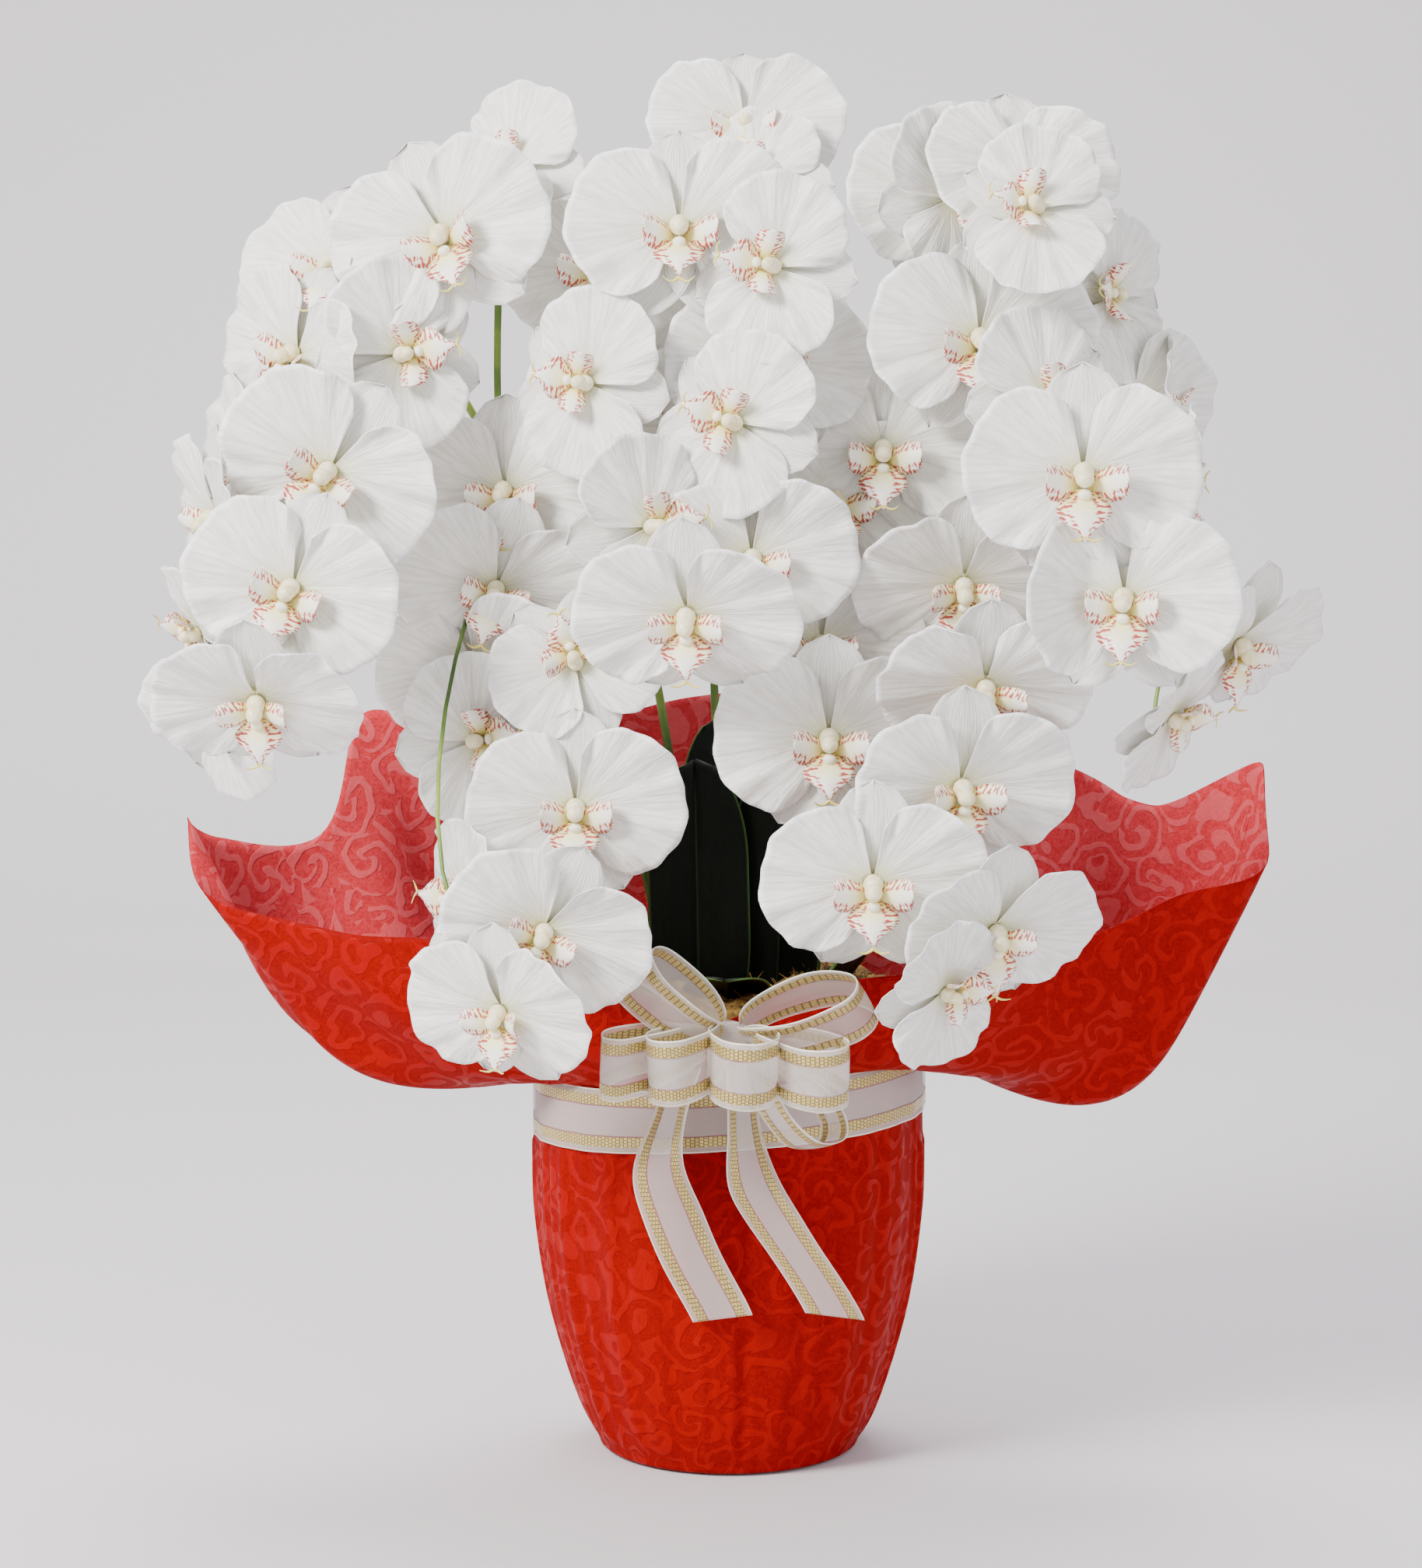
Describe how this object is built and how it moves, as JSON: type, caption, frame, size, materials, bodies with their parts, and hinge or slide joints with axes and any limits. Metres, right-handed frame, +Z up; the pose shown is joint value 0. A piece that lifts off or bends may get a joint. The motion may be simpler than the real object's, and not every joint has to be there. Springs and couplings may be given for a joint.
{
  "type": "potted orchid",
  "caption": "White moth orchid arrangement with arching sprays of flowers and broad leaves, in a red-wrapped pot tied with a cream ribbon bow.",
  "frame": {"origin": "centre of the flat underside of the wrapped pot", "axes": "+Z up, -Y towards the side that the flowers face, +X to the right of someone facing them"},
  "size_m": [0.5704, 0.3121, 0.6779],
  "materials": {
    "petal": "satin",
    "stem": "satin",
    "leaf": "satin",
    "pot": "matte",
    "bark": "matte",
    "moss": "matte",
    "wrap": "matte",
    "ribbon": "satin"
  },
  "bodies": {
    "root": {"bow": "ribbon", "flower_left_inner_09": "petal", "flower_left_inner_10": "petal", "flower_left_inner_11": "petal", "flower_left_inner_12": "petal", "flower_left_inner_13": "petal", "flower_left_inner_14": "petal", "flower_left_inner_15": "petal", "flower_left_inner_16": "petal", "flower_left_outer_01": "petal", "flower_left_outer_02": "petal", "flower_left_outer_03": "petal", "flower_left_outer_04": "petal", "flower_left_outer_05": "petal", "flower_left_outer_06": "petal", "flower_left_outer_07": "petal", "flower_left_outer_08": "petal", "flower_middle_17": "petal", "flower_middle_18": "petal", "flower_middle_19": "petal", "flower_middle_20": "petal", "flower_middle_21": "petal", "flower_middle_22": "petal", "flower_middle_23": "petal", "flower_right_inner_24": "petal", "flower_right_inner_25": "petal", "flower_right_inner_26": "petal", "flower_right_inner_27": "petal", "flower_right_inner_28": "petal", "flower_right_inner_29": "petal", "flower_right_inner_30": "petal", "flower_right_inner_31": "petal", "flower_right_inner_32": "petal", "flower_right_outer_33": "petal", "flower_right_outer_34": "petal", "flower_right_outer_35": "petal", "flower_right_outer_36": "petal", "flower_right_outer_37": "petal", "flower_right_outer_38": "petal", "flower_right_outer_39": "petal", "flower_right_outer_40": "petal", "flower_right_outer_41": "petal", "gift_wrap": "wrap", "growing_medium": "bark", "leaf_back": "leaf", "leaf_front": "leaf", "leaf_left": "leaf", "leaf_middle_left": "leaf", "leaf_middle_right": "leaf", "leaf_right": "leaf", "moss": "moss", "nursery_pot": "pot", "ribbon_band": "ribbon", "ribbon_tail_left": "ribbon", "ribbon_tail_right": "ribbon", "stem_left_inner": "stem", "stem_left_outer": "stem", "stem_middle": "stem", "stem_right_inner": "stem", "stem_right_outer": "stem"}
  },
  "joints": []
}
